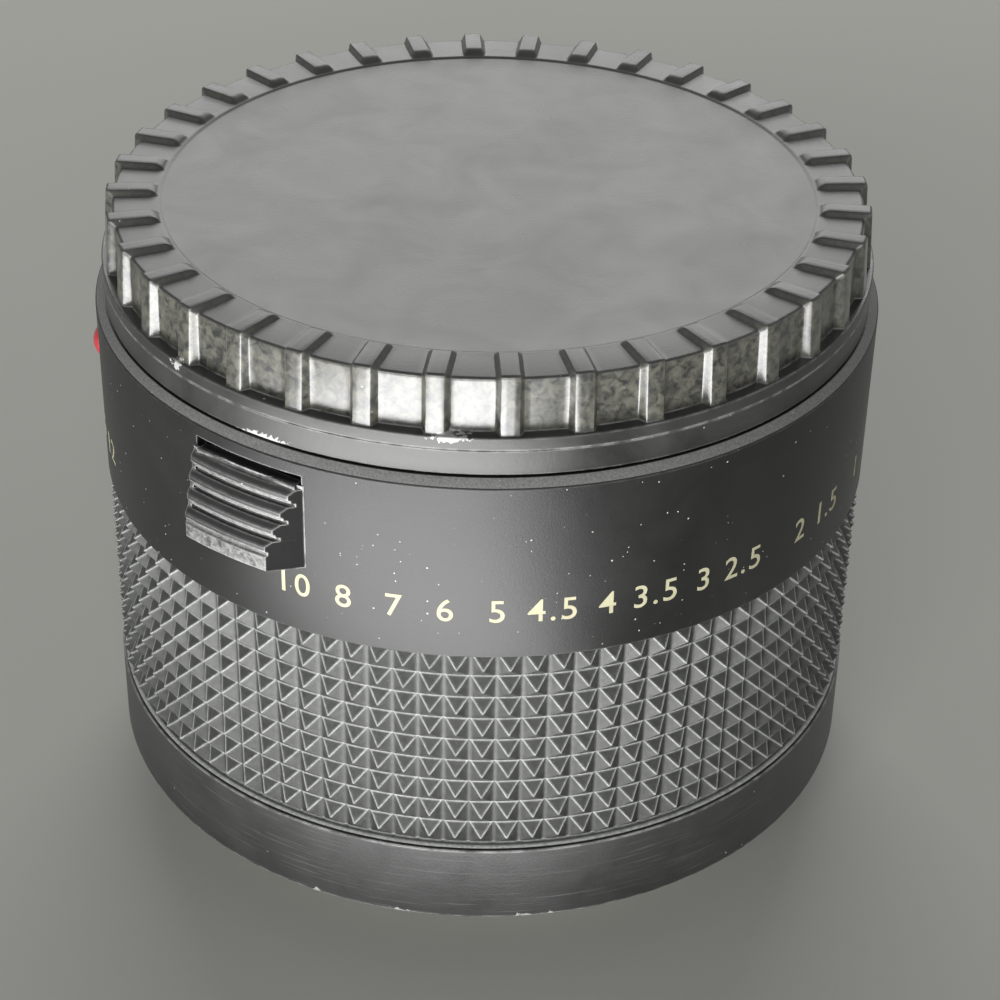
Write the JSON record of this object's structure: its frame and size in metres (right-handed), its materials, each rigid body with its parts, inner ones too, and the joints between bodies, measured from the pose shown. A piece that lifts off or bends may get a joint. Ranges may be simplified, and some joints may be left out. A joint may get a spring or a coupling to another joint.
{
  "type": "camera teleconverter",
  "caption": "Macro-focusing camera teleconverter: a ribbed rubber ring extends the front barrel, with bayonet mounts at both ends, a lens release slide and a ribbed front cap.",
  "frame": {"origin": "on the optical axis, in the plane that the rear bayonet stands on", "axes": "+Z along the optical axis towards the lens; -Y is the side that faces the picture's viewer, with the release slide 33.5 degrees to its left; +X is the viewer's right"},
  "size_m": [0.0642, 0.064, 0.0555],
  "materials": {
    "black_anodised": "satin black anodised",
    "grip_rubber": "matt moulded rubber",
    "cap_plastic": "moulded black plastic, worn",
    "mount_chrome": "fine turned chrome plate",
    "screw_steel": "bright",
    "button_black": "black, worn on the ribs",
    "index_red": "glossy",
    "satin_tube": "black anodised",
    "flat_black": "matt antireflection",
    "coated_glass": "coated",
    "cam_brass": "machined",
    "spring_steel": "bright rolled"
  },
  "bodies": {
    "rear_barrel": {"rear_barrel": "black_anodised", "rear_mount": "mount_chrome", "rear_mount_screws": "screw_steel", "guide_tube": "satin_tube", "guide_tube_screws": "screw_steel", "cell_support": "satin_tube", "cell_support_screws": "screw_steel", "rear_guard": "flat_black", "focus_keeper": "satin_tube", "lens_cell": "satin_tube", "rear_ring_keeper": "flat_black", "stop_ring_clip": "spring_steel", "lens_element_1": "coated_glass", "lens_element_2": "coated_glass", "lens_element_3": "coated_glass", "lens_element_4": "coated_glass", "lens_element_5": "coated_glass", "lens_element_6": "coated_glass", "lens_element_7": "coated_glass", "spacer_ring_1": "flat_black", "spacer_ring_2": "flat_black", "spacer_ring_3": "flat_black", "front_retaining_ring": "flat_black", "rear_retaining_ring": "flat_black"},
    "focus_ring": {"grip_rubber": "grip_rubber", "focus_sleeve": "satin_tube", "cam_tube": "cam_brass"},
    "front_barrel": {"front_shell": "black_anodised", "draw_tube": "satin_tube", "cam_followers": "cam_brass", "follower_screws": "screw_steel", "front_mount": "mount_chrome", "front_mount_screws": "screw_steel", "mount_leaf_spring": "spring_steel", "lock_pin_bush": "cam_brass", "index_bead": "index_red", "front_ring_keeper": "flat_black", "ring_carrier": "flat_black", "front_ring_clip": "flat_black", "stack_pillars": "cam_brass", "stack_spacers": "cam_brass", "release_spring": "spring_steel"},
    "release_slide": {"release_button": "button_black", "release_plate": "spring_steel", "lock_pin": "spring_steel"},
    "body_cap": {"body_cap": "cap_plastic"},
    "rear_setting_ring": {"rear_setting_ring": "spring_steel", "setting_fork": "spring_steel"},
    "front_setting_ring": {"front_setting_ring": "spring_steel", "setting_bar": "spring_steel"},
    "rear_stop_ring": {"rear_stop_ring": "spring_steel", "stop_fork": "spring_steel"},
    "front_stop_ring": {"front_stop_ring": "spring_steel", "stop_bar": "spring_steel"}
  },
  "joints": [
    {"name": "focus_turn", "type": "hinge", "parent": "rear_barrel", "child": "focus_ring", "pos_m": [0, 0, 0.0224], "axis": [0, 0, 1], "range_deg": [0, 270]},
    {"name": "focus_extension", "type": "slide", "parent": "rear_barrel", "child": "front_barrel", "axis": [0, 0, 1], "range_m": [0, 0.0174]},
    {"name": "release_pull", "type": "slide", "parent": "front_barrel", "child": "release_slide", "axis": [0, 0, -1], "range_m": [0, 0.002], "stiffness_N_per_m": 400, "springref_m": -0.002, "deforming": ["release_spring"]},
    {"name": "cap_turn", "type": "hinge", "parent": "front_barrel", "child": "body_cap", "pos_m": [0, 0, 0.0475], "axis": [0, 0, 1], "range_deg": [0, 65]},
    {"name": "rear_setting_turn", "type": "hinge", "parent": "rear_barrel", "child": "rear_setting_ring", "pos_m": [0, 0, 0.0107], "axis": [0, 0, 1], "range_deg": [0, 55]},
    {"name": "front_setting_turn", "type": "hinge", "parent": "front_barrel", "child": "front_setting_ring", "pos_m": [0, 0, 0.0398], "axis": [0, 0, 1], "range_deg": [0, 55]},
    {"name": "rear_stop_turn", "type": "hinge", "parent": "rear_barrel", "child": "rear_stop_ring", "pos_m": [0, 0, 0.013], "axis": [0, 0, 1], "range_deg": [0, 20], "stiffness_Nm_per_rad": 0.02, "springref_deg": -17.19},
    {"name": "front_stop_turn", "type": "hinge", "parent": "front_barrel", "child": "front_stop_ring", "pos_m": [0, 0, 0.0372], "axis": [0, 0, 1], "range_deg": [0, 20]}
  ],
  "couplings": [
    {"joint": "focus_turn", "follows": "focus_extension", "rad_per_m": 270.83},
    {"joint": "front_setting_turn", "follows": "rear_setting_turn", "ratio": 1},
    {"joint": "front_stop_turn", "follows": "rear_stop_turn", "ratio": 1}
  ]
}
